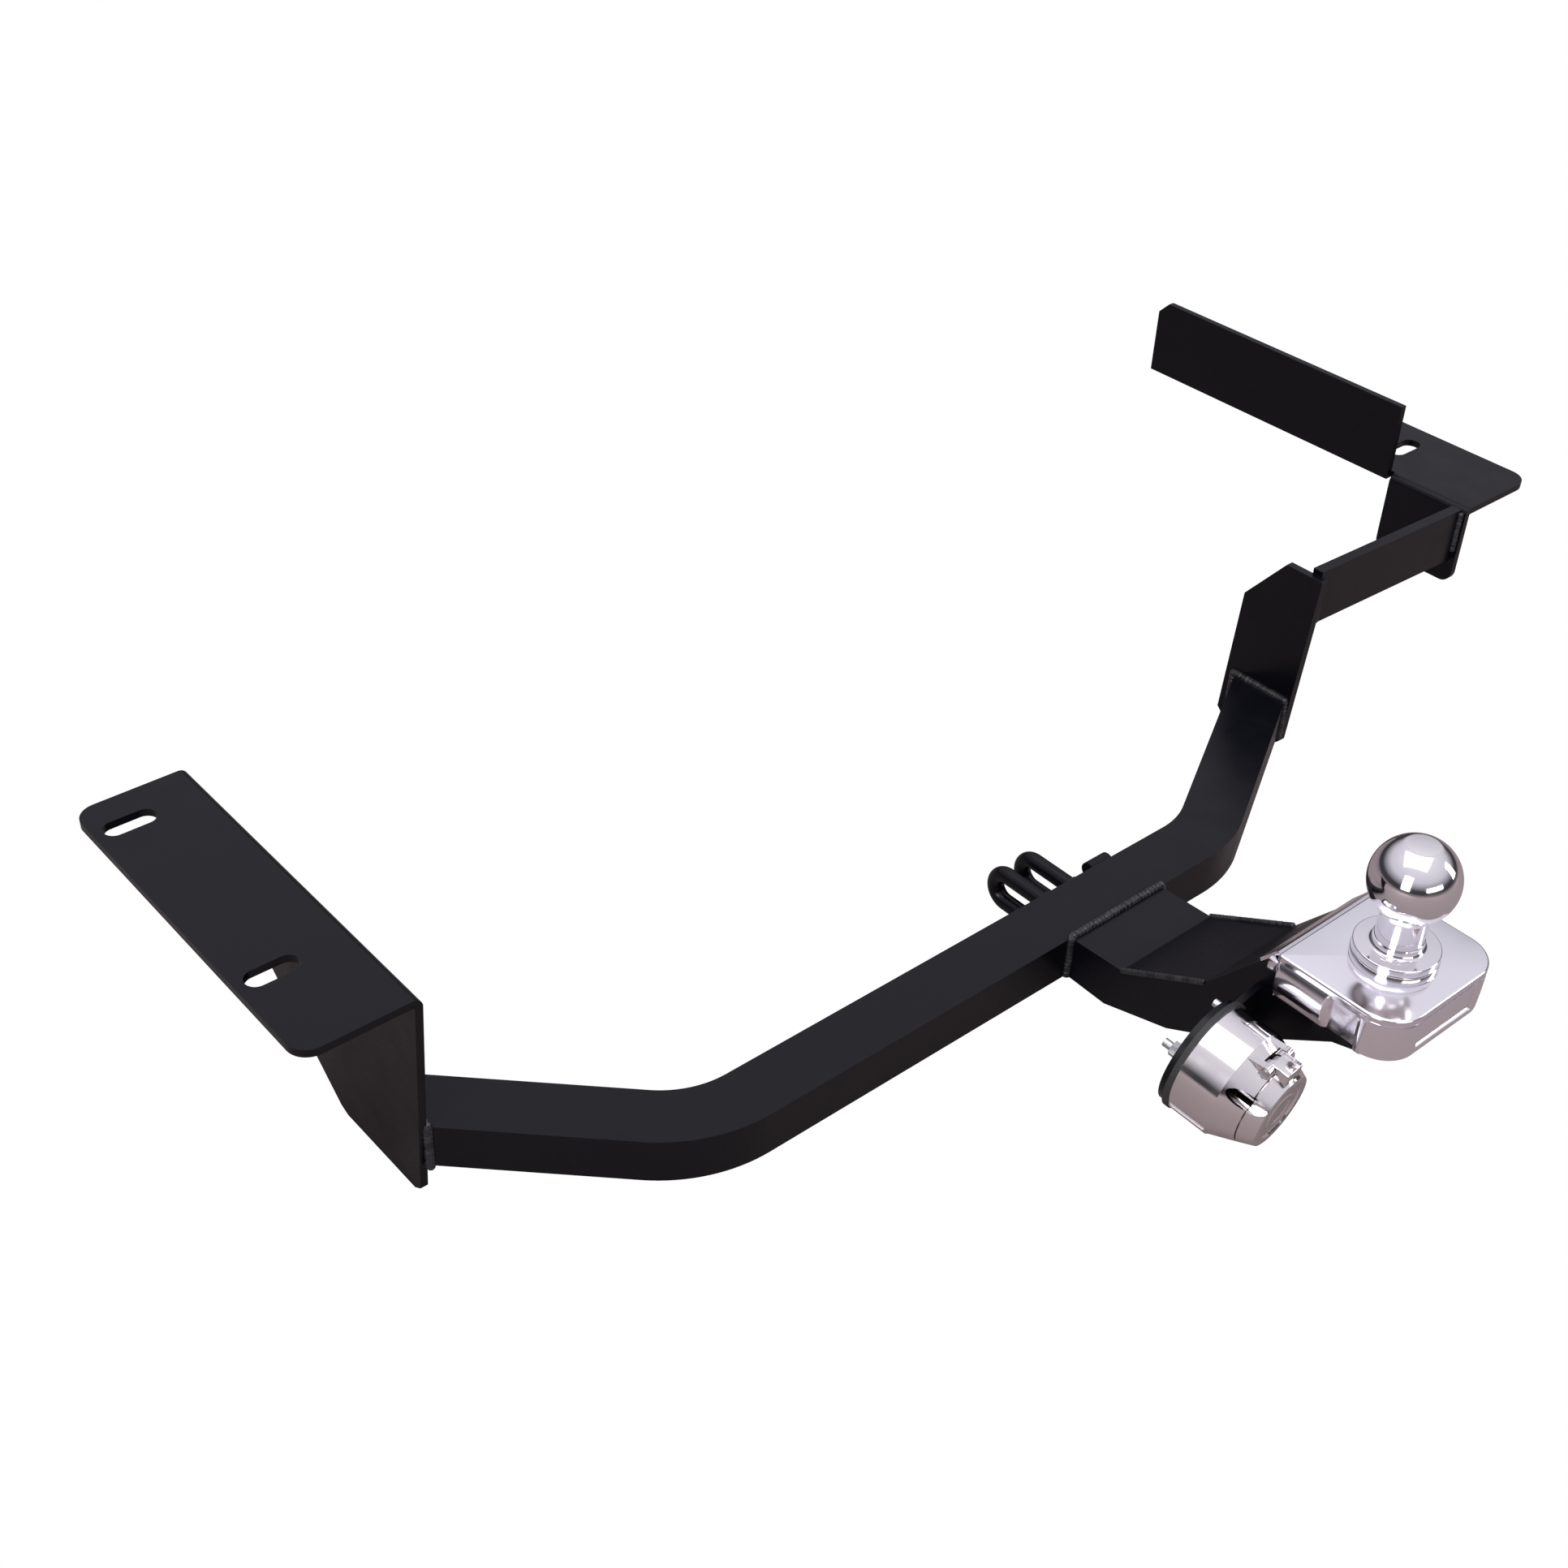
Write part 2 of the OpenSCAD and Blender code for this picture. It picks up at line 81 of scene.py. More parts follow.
# %% Finish builder
def finish(name, colour, second, metallic, rough, grain, grain_depth, stretch=(1, 1, 1), coat=0.0,
           patch=9.0, painted_top_light=None):
    """One procedural finish. colour and second are mixed by slow noise, rough is (low, high)."""
    mat = bpy.data.materials.new(name)
    mat.use_nodes = True
    tree = mat.node_tree
    shader = tree.nodes["Principled BSDF"]
    coords = tree.nodes.new("ShaderNodeTexCoord")
    mapping = tree.nodes.new("ShaderNodeMapping")
    mapping.inputs["Scale"].default_value = stretch
    tree.links.new(coords.outputs["Object"], mapping.inputs["Vector"])

    def noise(scale, detail, vector):
        node = tree.nodes.new("ShaderNodeTexNoise")
        node.inputs["Scale"].default_value = scale
        node.inputs["Detail"].default_value = detail
        tree.links.new(vector, node.inputs["Vector"])
        return node.outputs["Fac"]

    def spread(value, low, high):
        node = tree.nodes.new("ShaderNodeMapRange")
        node.inputs["From Min"].default_value = 0.3
        node.inputs["From Max"].default_value = 0.7
        node.inputs["To Min"].default_value = low
        node.inputs["To Max"].default_value = high
        tree.links.new(value, node.inputs["Value"])
        return node.outputs["Result"]

    blend = tree.nodes.new("ShaderNodeMix")
    blend.data_type = "RGBA"
    blend.inputs[6].default_value = (*colour, 1)
    blend.inputs[7].default_value = (*second, 1)
    tree.links.new(spread(noise(patch, 3, coords.outputs["Object"]), 0, 1), blend.inputs[0])
    colour_out = blend.outputs[2]
    if painted_top_light:
        # painted light: faces that point up get a lighter, cooler colour, a painted sheen standing in for the top
        # light that level faces catch
        facing = tree.nodes.new("ShaderNodeNewGeometry")
        split = tree.nodes.new("ShaderNodeSeparateXYZ")
        tree.links.new(facing.outputs["Normal"], split.inputs[0])
        level = tree.nodes.new("ShaderNodeMapRange")
        level.inputs["From Min"].default_value = 0.6
        level.inputs["From Max"].default_value = 1.0
        tree.links.new(split.outputs["Z"], level.inputs["Value"])
        cool = tree.nodes.new("ShaderNodeMix")
        cool.data_type = "RGBA"
        cool.inputs[7].default_value = (*painted_top_light, 1)
        tree.links.new(level.outputs["Result"], cool.inputs[0])
        tree.links.new(colour_out, cool.inputs[6])
        colour_out = cool.outputs[2]
    tree.links.new(colour_out, shader.inputs["Base Color"])
    tree.links.new(spread(noise(patch * 4, 4, mapping.outputs["Vector"]), *rough),
                   shader.inputs["Roughness"])
    bump = tree.nodes.new("ShaderNodeBump")
    bump.inputs["Strength"].default_value = 0.35
    bump.inputs["Distance"].default_value = grain_depth * MM
    tree.links.new(noise(grain, 2, mapping.outputs["Vector"]), bump.inputs["Height"])
    tree.links.new(bump.outputs["Normal"], shader.inputs["Normal"])
    shader.inputs["Metallic"].default_value = metallic
    shader.inputs["Coat Weight"].default_value = coat
    shader.inputs["Coat Roughness"].default_value = 0.08
    return mat


# %% The finishes of the tow bar
# painted light: the last colour is a lighter, bluer black painted on the level faces of the black coat as a sheen of
# top light
black_coat = finish("gloss_black_steel", (0.0012, 0.0012, 0.0024), (0.002, 0.002, 0.0036), 0.0,
                    (0.24, 0.36), 420, 0.03, coat=0.0, painted_top_light=(0.0022, 0.0022, 0.0046))
# a thick dark coat: only its soft highlights show
black_coat.node_tree.nodes["Principled BSDF"].inputs["Specular IOR Level"].default_value = 0.22
weld_coat = finish("weld_bead_steel", (0.003, 0.003, 0.005), (0.03, 0.03, 0.034), 0.1,
                   (0.25, 0.45), 500, 0.12, coat=0.0, patch=160)
mirror_chrome = finish("polished_chrome", (0.86, 0.84, 0.88), (0.80, 0.77, 0.80), 1.0,
                       (0.045, 0.10), 300, 0.012)
satin_chrome = finish("platform_chrome", (0.93, 0.91, 0.96), (0.87, 0.85, 0.89), 1.0,
                      (0.10, 0.17), 420, 0.012)
ball_top = finish("ball_top_steel", (0.80, 0.78, 0.80), (0.68, 0.66, 0.67), 0.9,
                  (0.34, 0.46), 900, 0.03)
socket_chrome = finish("socket_chrome", (0.88, 0.86, 0.88), (0.76, 0.72, 0.73), 1.0,
                       (0.07, 0.15), 260, 0.02)
zinc = finish("zinc_steel", (0.62, 0.62, 0.65), (0.50, 0.50, 0.52), 1.0, (0.22, 0.40), 700, 0.03,
              stretch=(1, 1, 6))
rubber = finish("black_rubber", (0.012, 0.012, 0.012), (0.02, 0.02, 0.02), 0.0, (0.55, 0.75), 900, 0.1)
block_plastic = finish("black_plastic", (0.02, 0.02, 0.02), (0.03, 0.03, 0.03), 0.0, (0.35, 0.5),
                       800, 0.05)
brass = finish("contact_brass", (0.72, 0.52, 0.22), (0.60, 0.42, 0.18), 1.0, (0.18, 0.3), 700, 0.02)
FINISH = {"gloss_black_steel": black_coat, "polished_chrome": mirror_chrome,
          "socket_chrome": socket_chrome, "zinc_steel": zinc, "black_rubber": rubber,
          "black_plastic": block_plastic, "contact_brass": brass}
slot_of = {p["node"]: p["material_slot"] for p in frame["record"]["subparts"]}


def smooth(obj, degrees=32):
    bpy.ops.object.select_all(action="DESELECT")
    obj.select_set(True)
    bpy.context.view_layer.objects.active = obj
    bpy.ops.object.shade_smooth_by_angle(angle=math.radians(degrees))


for node_name, obj in frame["nodes"].items():
    obj.data.materials.clear()
    obj.data.materials.append(FINISH[slot_of[node_name]])
print("finishes on", len(frame["nodes"]), "CAD nodes")

# %% [markdown]
# ## Piece builders
# Turned pieces are a profile spun round an axis, wires and weld beads are rings
# swept along a line, and blocks are boxes with a bevel. Each is a closed mesh
# left at the origin, with its place in its vertices, and it rides on the body
# that it is fixed to.

# %% Builders
def piece(name, verts, faces, mat, slot, body="tow_bar", angle=32):
    mesh = bpy.data.meshes.new(name)
    mesh.from_pydata([tuple(v) for v in verts], [], faces)
    work = bmesh.new()
    work.from_mesh(mesh)
    bmesh.ops.remove_doubles(work, verts=work.verts, dist=1e-7)
    bmesh.ops.recalc_face_normals(work, faces=work.faces)
    work.to_mesh(mesh)
    work.free()
    mesh.materials.append(mat)
    obj = bpy.data.objects.new(name, mesh)
    bpy.context.scene.collection.objects.link(obj)
    smooth(obj, angle)
    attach(obj, body)
    return obj


def spun(profile, place, steps=96):
    """Verts and faces of a profile of (radius, along) spun round the local +Z of place."""
    verts, faces, rings = [], [], []
    for radius, along in profile:
        if radius < 1e-9:
            rings.append([len(verts)])
            verts.append(place @ Vector((0, 0, along)))
        else:
            rings.append(list(range(len(verts), len(verts) + steps)))
            for i in range(steps):
                a = math.tau * i / steps
                verts.append(place @ Vector((radius * math.cos(a), radius * math.sin(a), along)))
    pairs = list(zip(rings, rings[1:]))
    if len(rings[0]) > 1 and len(rings[-1]) > 1:
        pairs.append((rings[-1], rings[0]))
    for a, b in pairs:
        for i in range(steps):
            j = (i + 1) % steps
            if len(a) == 1 and len(b) > 1:
                faces.append((a[0], b[i], b[j]))
            elif len(b) == 1 and len(a) > 1:
                faces.append((a[i], b[0], a[j]))
            elif len(a) > 1 and len(b) > 1:
                faces.append((a[i], b[i], b[j], a[j]))
    return verts, faces


def swept(line, radii, steps=14, closed=False):
    """Verts and faces of a round section swept along a line of points."""
    line = [Vector(p) for p in line]
    verts, faces = [], []
    count = len(line)
    side = None
    for i, p in enumerate(line):
        ahead = line[(i + 1) % count] if closed or i < count - 1 else p
        behind = line[i - 1] if closed or i > 0 else p
        way = (ahead - behind).normalized()
        if side is None:
            side = way.orthogonal().normalized()
        side = (side - way * side.dot(way)).normalized()
        up = way.cross(side)
        for k in range(steps):
            a = math.tau * k / steps
            verts.append(p + radii[i] * (side * math.cos(a) + up * math.sin(a)))
    for i in range(count if closed else count - 1):
        for k in range(steps):
            a, b = i * steps, ((i + 1) % count) * steps
            faces.append((a + k, a + (k + 1) % steps, b + (k + 1) % steps, b + k))
    if not closed:
        faces.append(tuple(range(steps)))
        faces.append(tuple(range((count - 1) * steps, count * steps))[::-1])
    return verts, faces


def block(low, high, place=Matrix.Identity(4), edge=0.6 * MM):
    """Verts and faces of a box with bevelled edges, between two corners of place."""
    work = bmesh.new()
    bmesh.ops.create_cube(work, size=1.0)
    low, high = Vector(low), Vector(high)
    for v in work.verts:
        v.co = Vector(((low[i] + high[i]) / 2 + v.co[i] * (high[i] - low[i]) for i in range(3)))
    bmesh.ops.bevel(work, geom=work.edges[:], offset=edge, segments=3, profile=0.5, affect="EDGES")
    verts = [place @ v.co for v in work.verts]
    faces = [tuple(v.index for v in f.verts) for f in work.faces]
    work.free()
    return verts, faces


def together(*parts):
    verts, faces = [], []
    for v, f in parts:
        faces += [tuple(i + len(verts) for i in face) for face in f]
        verts += list(v)
    return verts, faces


def arc(cx, cy, r, a0, a1, steps=6):
    """Points of a fillet in a profile, angles in degrees."""
    return [(cx + r * math.cos(math.radians(a0 + (a1 - a0) * i / steps)),
             cy + r * math.sin(math.radians(a0 + (a1 - a0) * i / steps))) for i in range(steps + 1)]


# %% [markdown]
# ## Tow ball
# The ball, its neck, collar and shank are one forging, turned and plated, so
# it is one spun profile. The neck meets the ball and the collar in small fillets
# and a flat is cut across the top. The base washer is spun the same way.

# %% Tow ball and base washer
deck_low, deck_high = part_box("ball_platform")
forge_low, forge_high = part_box("tow_ball")
washer_low, washer_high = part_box("base_washer")
ball_axis = Matrix.Translation(((forge_low.x + forge_high.x) / 2, (washer_low.y + washer_high.y) / 2, 0))
BALL_R = 25 * MM
FLAT_AT = 23 * MM
NECK_R = 13.5 * MM
SHANK_R = 11 * MM
ball_z = forge_high.z - FLAT_AT
deck_z = deck_high.z
collar_r = (washer_high.x - washer_low.x) / 2 - 0.4 * MM
collar_z = washer_high.z
COLLAR_H = 4.8 * MM


def ball_profile():
    top = math.asin(FLAT_AT / BALL_R)
    lowest = -math.acos(NECK_R / BALL_R)
    line = [(0, ball_z + FLAT_AT), (BALL_R * math.cos(top) - 0.5 * MM, ball_z + FLAT_AT)]
    for i in range(49):
        a = top - 0.02 + (lowest + 0.06 - top) * i / 48
        line.append((BALL_R * math.cos(a), ball_z + BALL_R * math.sin(a)))
    under = ball_z + BALL_R * math.sin(lowest)
    line += [(NECK_R + 0.35 * MM, under - 0.7 * MM), (NECK_R, under - 2.2 * MM)]
    foot = collar_z + COLLAR_H
    line += [(NECK_R, foot + 5.0 * MM), (NECK_R + 0.8 * MM, foot + 4.6 * MM),
             (NECK_R + 1.0 * MM, foot + 3.0 * MM)]
    line += arc(NECK_R + 3.0 * MM, foot + 2.2 * MM, 2.2 * MM, 180, 270)
    line += [(collar_r - 0.8 * MM, foot)]
    line += arc(collar_r - 0.8 * MM, foot - 0.8 * MM, 0.8 * MM, 90, 0)
    line += [(collar_r, collar_z + 0.5 * MM), (collar_r - 0.5 * MM, collar_z)]
    line += [(SHANK_R, collar_z), (SHANK_R, forge_low.z + 1.5 * MM),
             (SHANK_R - 1.5 * MM, forge_low.z), (0, forge_low.z)]
    return line


tow_ball = piece("tow_ball_forging", *spun(ball_profile(), ball_axis, 128), mirror_chrome,
                 "polished_chrome", angle=24)
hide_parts("tow_ball")
tow_ball.data.materials.append(ball_top)
for face in tow_ball.data.polygons:
    if face.center.z > ball_z + FLAT_AT - 0.05 * MM:
        face.material_index = 1
washer_r = (washer_high.x - washer_low.x) / 2
WASHER_HOLE = 11.5 * MM
washer_line = [(WASHER_HOLE, washer_low.z), (washer_r - 0.5 * MM, washer_low.z),
               (washer_r, washer_low.z + 0.5 * MM), (washer_r, washer_high.z - 0.9 * MM),
               (washer_r - 0.3 * MM, washer_high.z - 0.3 * MM), (washer_r - 0.9 * MM, washer_high.z),
               (WASHER_HOLE, washer_high.z)]
base_washer = piece("ball_base_washer", *spun(washer_line, ball_axis, 128), mirror_chrome,
                    "polished_chrome")
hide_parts("base_washer")
ball_centre = (ball_axis.translation.x, ball_axis.translation.y, ball_z)
print("ball", round(BALL_R * 2 / MM), "mm, centre", [round(x / MM, 1) for x in ball_centre])

# %% [markdown]
# ## Ball platform
# A cast and polished shell. It is built as one closed skin: a plan outline is
# repeated down the height, and each point is drawn in or out to give the
# bevelled lip, the fine step, the barrel at the front of each side, the scallop
# behind it and the bare panel at the rear. The inner skin is the plain outline
# moved 3.6 mm in, with its top 4 mm under the deck.

# %% Platform shell
DECK_WALL = 4.0 * MM
CORNER_R = 22.0 * MM
half_deck = (deck_high.x - deck_low.x) / 2
rear_y, front_y = deck_low.y, deck_high.y
skirt_z = deck_low.z
PANEL_HALF, PANEL_LOW, PANEL_HIGH = 25 * MM, skirt_z + 4 * MM, skirt_z + 21 * MM


def plan_outline():
    """Points round the platform with their outward directions, from the front left corner."""
    points = []
    nose = 2.5 * MM
    for y in np.linspace(front_y - nose, rear_y + CORNER_R, 61)[:-1]:
        points.append((-half_deck, y, -1, 0))
    for i in range(25):
        a = math.pi + math.pi / 2 * i / 24
        points.append((-half_deck + CORNER_R + CORNER_R * math.cos(a),
                       rear_y + CORNER_R + CORNER_R * math.sin(a), math.cos(a), math.sin(a)))
    edge = half_deck - CORNER_R
    # the panel's two upright edges need a point on each side of them
    rear = sorted({*np.linspace(-edge, edge, 25)[1:-1], -PANEL_HALF, -PANEL_HALF + 0.5 * MM,
                   PANEL_HALF - 0.5 * MM, PANEL_HALF})
    points += [(x, rear_y, 0, -1) for x in rear]
    for i in range(25):
        a = 1.5 * math.pi + math.pi / 2 * i / 24
        points.append((half_deck - CORNER_R + CORNER_R * math.cos(a),
                       rear_y + CORNER_R + CORNER_R * math.sin(a), math.cos(a), math.sin(a)))
    for y in np.linspace(rear_y + CORNER_R, front_y - nose, 61)[1:]:
        points.append((half_deck, y, 1, 0))
    for i in range(1, 7):
        a = math.pi / 2 * i / 6
        points.append((half_deck - nose + nose * math.cos(a), front_y - nose + nose * math.sin(a),
                       math.cos(a), math.sin(a)))
    points += [(x, front_y, 0, 1) for x in np.linspace(half_deck - nose, nose - half_deck, 30)[1:-1]]
    for i in range(6):
        a = math.pi / 2 + math.pi / 2 * i / 6
        points.append((-half_deck + nose + nose * math.cos(a), front_y - nose + nose * math.sin(a),
                       math.cos(a), math.sin(a)))
    return points


def soft_step(x, low, high):
    t = min(1.0, max(0.0, (x - low) / (high - low)))
    return t * t * (3 - 2 * t)


def draw_in(x, y, z, nx, ny):
    """How far the outer skin lies inside the plain outline at a point."""
    below = deck_z - z
    inset = 0.0
    if below < 1.6 * MM:
        inset = 1.5 * MM * (1 - math.sqrt(max(0.0, 1 - (1 - below / (1.6 * MM)) ** 2)))
    if 4.2 * MM < below < 5.4 * MM:
        inset = 1.1 * MM
    if below > 5.4 * MM and abs(nx) > 0.99:
        skirt = (below - 5.4 * MM) / (deck_z - skirt_z - 5.4 * MM)
        lobe = soft_step(y, front_y - 39 * MM, front_y - 34 * MM)
        barrel = -1.8 * MM + 4.2 * MM * (1.8 * abs(skirt - 0.5)) ** 2
        hollow = 5.0 * MM * soft_step(y, rear_y + CORNER_R, rear_y + CORNER_R + 6 * MM)
        hollow *= soft_step(skirt, 0.0, 0.16)
        inset += lobe * barrel + (1 - lobe) * hollow
    if below > 5.4 * MM and abs(nx) <= 0.99:
        inset += 1.2 * MM * ((below - 5.4 * MM) / (deck_z - skirt_z)) ** 2
    if ny < -0.99 and abs(x) < PANEL_HALF - 0.2 * MM and PANEL_LOW < z < PANEL_HIGH:
        inset += 0.9 * MM
    return inset


def platform_shell():
    plan = plan_outline()
    count = len(plan)
    drops = [0, 0.15, 0.4, 0.8, 1.2, 1.6, 2.4, 4.15, 4.25, 5.35, 5.45, 6.2, 7.2, 7.9, 8.1, 9.5]
    drops += list(np.linspace(11, 24, 14)) + [24.9, 25.1, 26, 27.2, 28.2, 29.0]
    verts, faces, rings = [], [], []

    def ring(points):
        rings.append(list(range(len(verts), len(verts) + count)))
        verts.extend(points)

    hole = []
    for x, y, nx, ny in plan:
        way = Vector((x - ball_axis.translation.x, y - ball_axis.translation.y)).normalized()
        hole.append((ball_axis.translation.x + WASHER_HOLE * way.x,
                     ball_axis.translation.y + WASHER_HOLE * way.y))
    ring([Vector((x, y, deck_z)) for x, y in hole])
    for drop in drops:
        z = deck_z - drop * MM
        ring([Vector((x - nx * draw_in(x, y, z, nx, ny), y - ny * draw_in(x, y, z, nx, ny), z))
              for x, y, nx, ny in plan])
    inner_top = deck_z - DECK_WALL - 0.02 * MM
    foot_in = DECK_WALL - 0.4 * MM
    for z in (skirt_z, inner_top):
        ring([Vector((x - nx * foot_in, y - ny * foot_in, z)) for x, y, nx, ny in plan])
    ring([Vector((x, y, inner_top)) for x, y in hole])
    for a, b in zip(rings, rings[1:] + rings[:1]):
        for i in range(count):
            j = (i + 1) % count
            faces.append((a[i], a[j], b[j], b[i]))
    return verts, faces


print("platform", round(half_deck * 2 / MM), "mm wide,", round((front_y - rear_y) / MM), "mm long")

# %% Front apron and lug
# The shell turns down at its front edge and lies on the slope of the tongue.
APRON_T = 2.0 * MM


def front_apron():
    top_y, top_z = front_y - 1.0 * MM, deck_z - 0.6 * MM
    turn = [(top_y, top_z), (top_y + 3.0 * MM, top_z - 0.6 * MM), (top_y + 5.6 * MM, top_z - 3.0 * MM),
            (top_y + 9.0 * MM, top_z - 7.6 * MM), (top_y + 15.5 * MM, top_z - 15.4 * MM)]
    under = [(y - 0.5 * APRON_T, z - APRON_T) for y, z in turn]
    verts, faces = [], []
    wide = [half_deck - 2.0 * MM - 1.2 * MM * i for i in range(5)]
    for x_side in (-1, 1):
        for line in (turn, under):
            for i, (y, z) in enumerate(line):
                verts.append(Vector((x_side * wide[i], y, z)))
    for i in range(4):
        faces += [(i, i + 1, 11 + i, 10 + i), (5 + i, 15 + i, 16 + i, 6 + i),
                  (i, 5 + i, 6 + i, i + 1), (10 + i, 11 + i, 16 + i, 15 + i)]
    faces += [(0, 10, 15, 5), (4, 9, 19, 14)]
    return verts, faces


lug = block((-half_deck + 0.5 * MM, front_y - 2 * MM, deck_z - 14 * MM),
            (-half_deck + 6.5 * MM, front_y + 6 * MM, deck_z - 6 * MM), edge=1.5 * MM)
platform = piece("ball_platform_shell", *together(platform_shell(), front_apron(), lug),
                 satin_chrome, "polished_chrome", angle=28)
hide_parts("ball_platform")
print("platform skin", len(platform.data.polygons), "faces")

# %% [markdown]
# ## Trailer socket
# The shell keeps its CAD solid. The lid is a casting, so it is made again with
# rolled edges, a raised rim and a sunk face, because the rims catch the light.

# %% Socket frame and turned shells
SOCKET_AT = Vector((-90.8 * MM, -385.0 * MM, -64.9 * MM))
SOCKET = (Matrix.Translation(SOCKET_AT) @ Matrix.Rotation(math.radians(6), 4, "Z")
          @ Matrix.Rotation(math.radians(8), 4, "X"))
# local +Z of the turned pieces runs out of the socket mouth
MOUTH = SOCKET @ Matrix.Rotation(math.radians(90), 4, "X")
SHELL_R, SHELL_FROM, SHELL_TO = 33.5 * MM, 3 * MM, 28 * MM
CAP_FROM, CAP_TO, TAPER, SHELL_END = 43.4 * MM, 53.0 * MM, 0.408, 43 * MM
HINGE_OUT, HINGE_UP, KNUCKLE_R, KNUCKLE_W = 40 * MM, 29 * MM, 4 * MM, 14 * MM
RECESS_RING, RECESS_R = 28.2 * MM, 4.6 * MM
end_r = SHELL_R - TAPER * (SHELL_END - SHELL_TO)
cap_back_r = end_r - 0.4 * MM * TAPER
cap_face_r = cap_back_r - TAPER * (CAP_TO - CAP_FROM)


def cap_profile():
    sunk = 0.8 * MM
    line = [(0, CAP_TO - sunk), (8.0 * MM, CAP_TO - sunk)]
    line += [(8.8 * MM, CAP_TO - 0.3 * MM), (11.0 * MM, CAP_TO - 0.3 * MM),
             (11.8 * MM, CAP_TO - sunk), (17.2 * MM, CAP_TO - sunk), (18.0 * MM, CAP_TO)]
    line += [(cap_face_r - 0.9 * MM, CAP_TO), (cap_face_r - 0.2 * MM, CAP_TO - 0.25 * MM),
             (cap_face_r + 0.15 * MM, CAP_TO - 0.9 * MM)]
    line += [(cap_back_r - 0.2 * MM, CAP_FROM + 0.5 * MM), (cap_back_r - 0.5 * MM, CAP_FROM)]
    line += [(end_r - 6.9 * MM, CAP_FROM), (end_r - 6.9 * MM, CAP_TO - 2.6 * MM), (0, CAP_TO - 2.6 * MM)]
    return line


def in_socket(x, out, up):
    return Vector((x, -out, up))


knuckle = block(in_socket(-KNUCKLE_W / 2, CAP_TO - 1.5 * MM, HINGE_UP - 6 * MM),
                in_socket(KNUCKLE_W / 2, HINGE_OUT, HINGE_UP + KNUCKLE_R), SOCKET, 0.5 * MM)
barrel_place = SOCKET @ Matrix.Translation((0, -HINGE_OUT, HINGE_UP)) @ Matrix.Rotation(math.radians(90), 4, "Y")
bore = 2.02 * MM


def knuckle_barrel(start, end):
    edge = 0.4 * MM
    return spun([(bore, start), (KNUCKLE_R - edge, start), (KNUCKLE_R, start + edge),
                 (KNUCKLE_R, end - edge), (KNUCKLE_R - edge, end), (bore, end)], barrel_place, 40)


barrels = [knuckle_barrel(-KNUCKLE_W / 2, -3.2 * MM), knuckle_barrel(3.2 * MM, KNUCKLE_W / 2)]
socket_lid = piece("socket_lid_casting", *together(spun(cap_profile(), MOUTH, 112)),
                   socket_chrome, "socket_chrome", body="lid", angle=30)

# %% [markdown]
# ## Recesses of the lid
# The long screw recesses of the shell run on into the lid. Cutting them with a
# boolean keeps the crisp cast edge, which a bump could not.

# %% Cut the lid
def cut(target, verts, faces, name):
    mesh = bpy.data.meshes.new(name)
    mesh.from_pydata([tuple(v) for v in verts], [], faces)
    tool = bpy.data.objects.new(name, mesh)
    bpy.context.scene.collection.objects.link(tool)
    work = bmesh.new()
    work.from_mesh(mesh)
    bmesh.ops.recalc_face_normals(work, faces=work.faces)
    work.to_mesh(mesh)
    work.free()
    modifier = target.modifiers.new(name, "BOOLEAN")
    modifier.object, modifier.operation, modifier.solver = tool, "DIFFERENCE", "EXACT"
    bpy.ops.object.select_all(action="DESELECT")
    target.select_set(True)
    bpy.context.view_layer.objects.active = target
    bpy.ops.object.modifier_apply(modifier=name)
    bpy.data.objects.remove(tool)
    smooth(target, 30)


SCREWS_AT = (147, 27, 267)
for k, degrees in enumerate(SCREWS_AT):
    a = math.radians(degrees)
    place = SOCKET @ Matrix.Translation((RECESS_RING * math.cos(a), 0, RECESS_RING * math.sin(a)))
    place = place @ Matrix.Rotation(math.radians(90), 4, "X")
    cut(socket_lid, *spun([(0, CAP_FROM - 2 * MM), (RECESS_R + 0.4 * MM, CAP_FROM - 2 * MM),
                           (RECESS_R + 0.4 * MM, CAP_TO + 2 * MM), (0, CAP_TO + 2 * MM)], place, 48),
        f"recess_{k}")
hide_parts("socket_lid")
piece("lid_knuckle", *together(knuckle, *barrels), socket_chrome, "socket_chrome", body="lid")
print("lid casting", len(socket_lid.data.polygons), "faces")

# %% Sleeve step on the socket shell
# the lower half of the shell stands a little proud, with a clear edge along the side
verts, faces = [], []
SLEEVE_T, START, STOP, PARTS = 0.7 * MM, 208, 328, 60
for i in range(PARTS + 1):
    a = math.radians(START + (STOP - START) * i / PARTS)
    for radius, out in ((SHELL_R - 0.4 * MM, SHELL_FROM + 0.2 * MM), (SHELL_R + SLEEVE_T, SHELL_FROM + 0.4 * MM),
                        (SHELL_R + SLEEVE_T, SHELL_TO - 0.8 * MM), (SHELL_R - 0.3 * MM, SHELL_TO)):
        verts.append(SOCKET @ in_socket(radius * math.cos(a), out, radius * math.sin(a)))
for i in range(PARTS):
    for k in range(4):
        j = (k + 1) % 4
        faces.append((4 * i + k, 4 * i + j, 4 * i + 4 + j, 4 * i + 4 + k))
faces += [(0, 1, 2, 3), tuple(4 * PARTS + k for k in (3, 2, 1, 0))]
piece("socket_lower_band", verts, faces, socket_chrome, "socket_chrome")

# %% Hinge spring
# a real coil round the hinge pin, with one leg on the socket shell
coil_r, wire_r, turns = 2.62 * MM, 0.3 * MM, 6
coil = []
for i in range(turns * 24 + 1):
    a = math.tau * i / 24
    along = -2.6 * MM + 5.2 * MM * i / (turns * 24)
    coil.append(barrel_place @ Vector((coil_r * math.cos(a), coil_r * math.sin(a), along)))
inward = (SOCKET.to_3x3() @ Vector((0, 1, 0))).normalized()
last = coil[-1]
coil += [last + inward * 0.8 * MM * k for k in range(1, 5)]
spring = piece("lid_hinge_spring", *swept(coil, [wire_r] * len(coil), 10), zinc, "zinc_steel")
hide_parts("lid_spring")
print("socket mouth faces", [round(x, 3) for x in (MOUTH.to_3x3() @ Vector((0, 0, 1)))])

